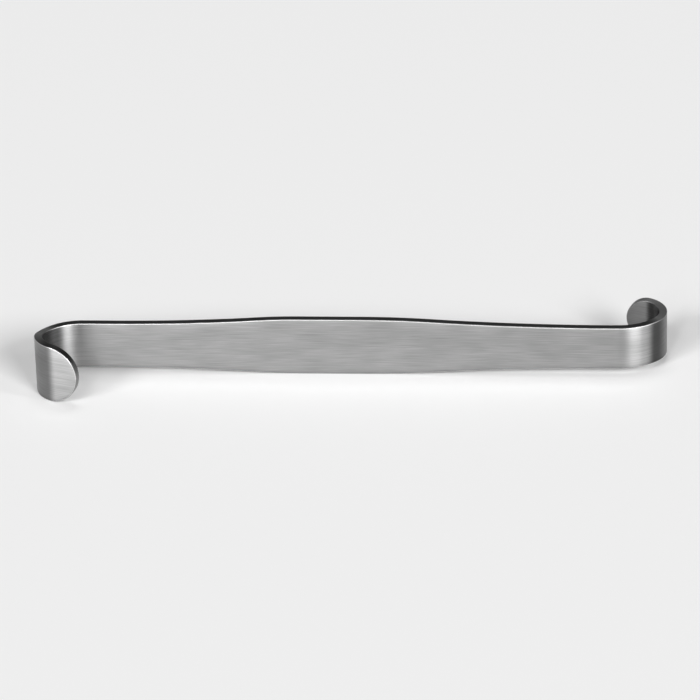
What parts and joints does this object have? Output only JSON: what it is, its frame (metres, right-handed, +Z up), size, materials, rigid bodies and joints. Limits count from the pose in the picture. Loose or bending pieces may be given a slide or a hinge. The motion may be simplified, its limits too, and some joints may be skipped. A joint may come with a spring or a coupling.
{
  "type": "handheld surgical retractor",
  "caption": "Bent strip of satin stainless steel with a curled, round-tipped blade at each end and a widened grip between, for holding tissue aside by hand",
  "frame": {"origin": "middle of the short level stretch of the bottom edge, under the widest part of the grip", "axes": "+X along the strip towards the smaller blade, +Z up across the strip's width, -Y the side that the larger blade curls to"},
  "size_m": [0.19, 0.043, 0.0186],
  "materials": {
    "steel": "satin, fine lengthways brushing"
  },
  "bodies": {
    "root": {"retractor": "steel"}
  },
  "joints": []
}
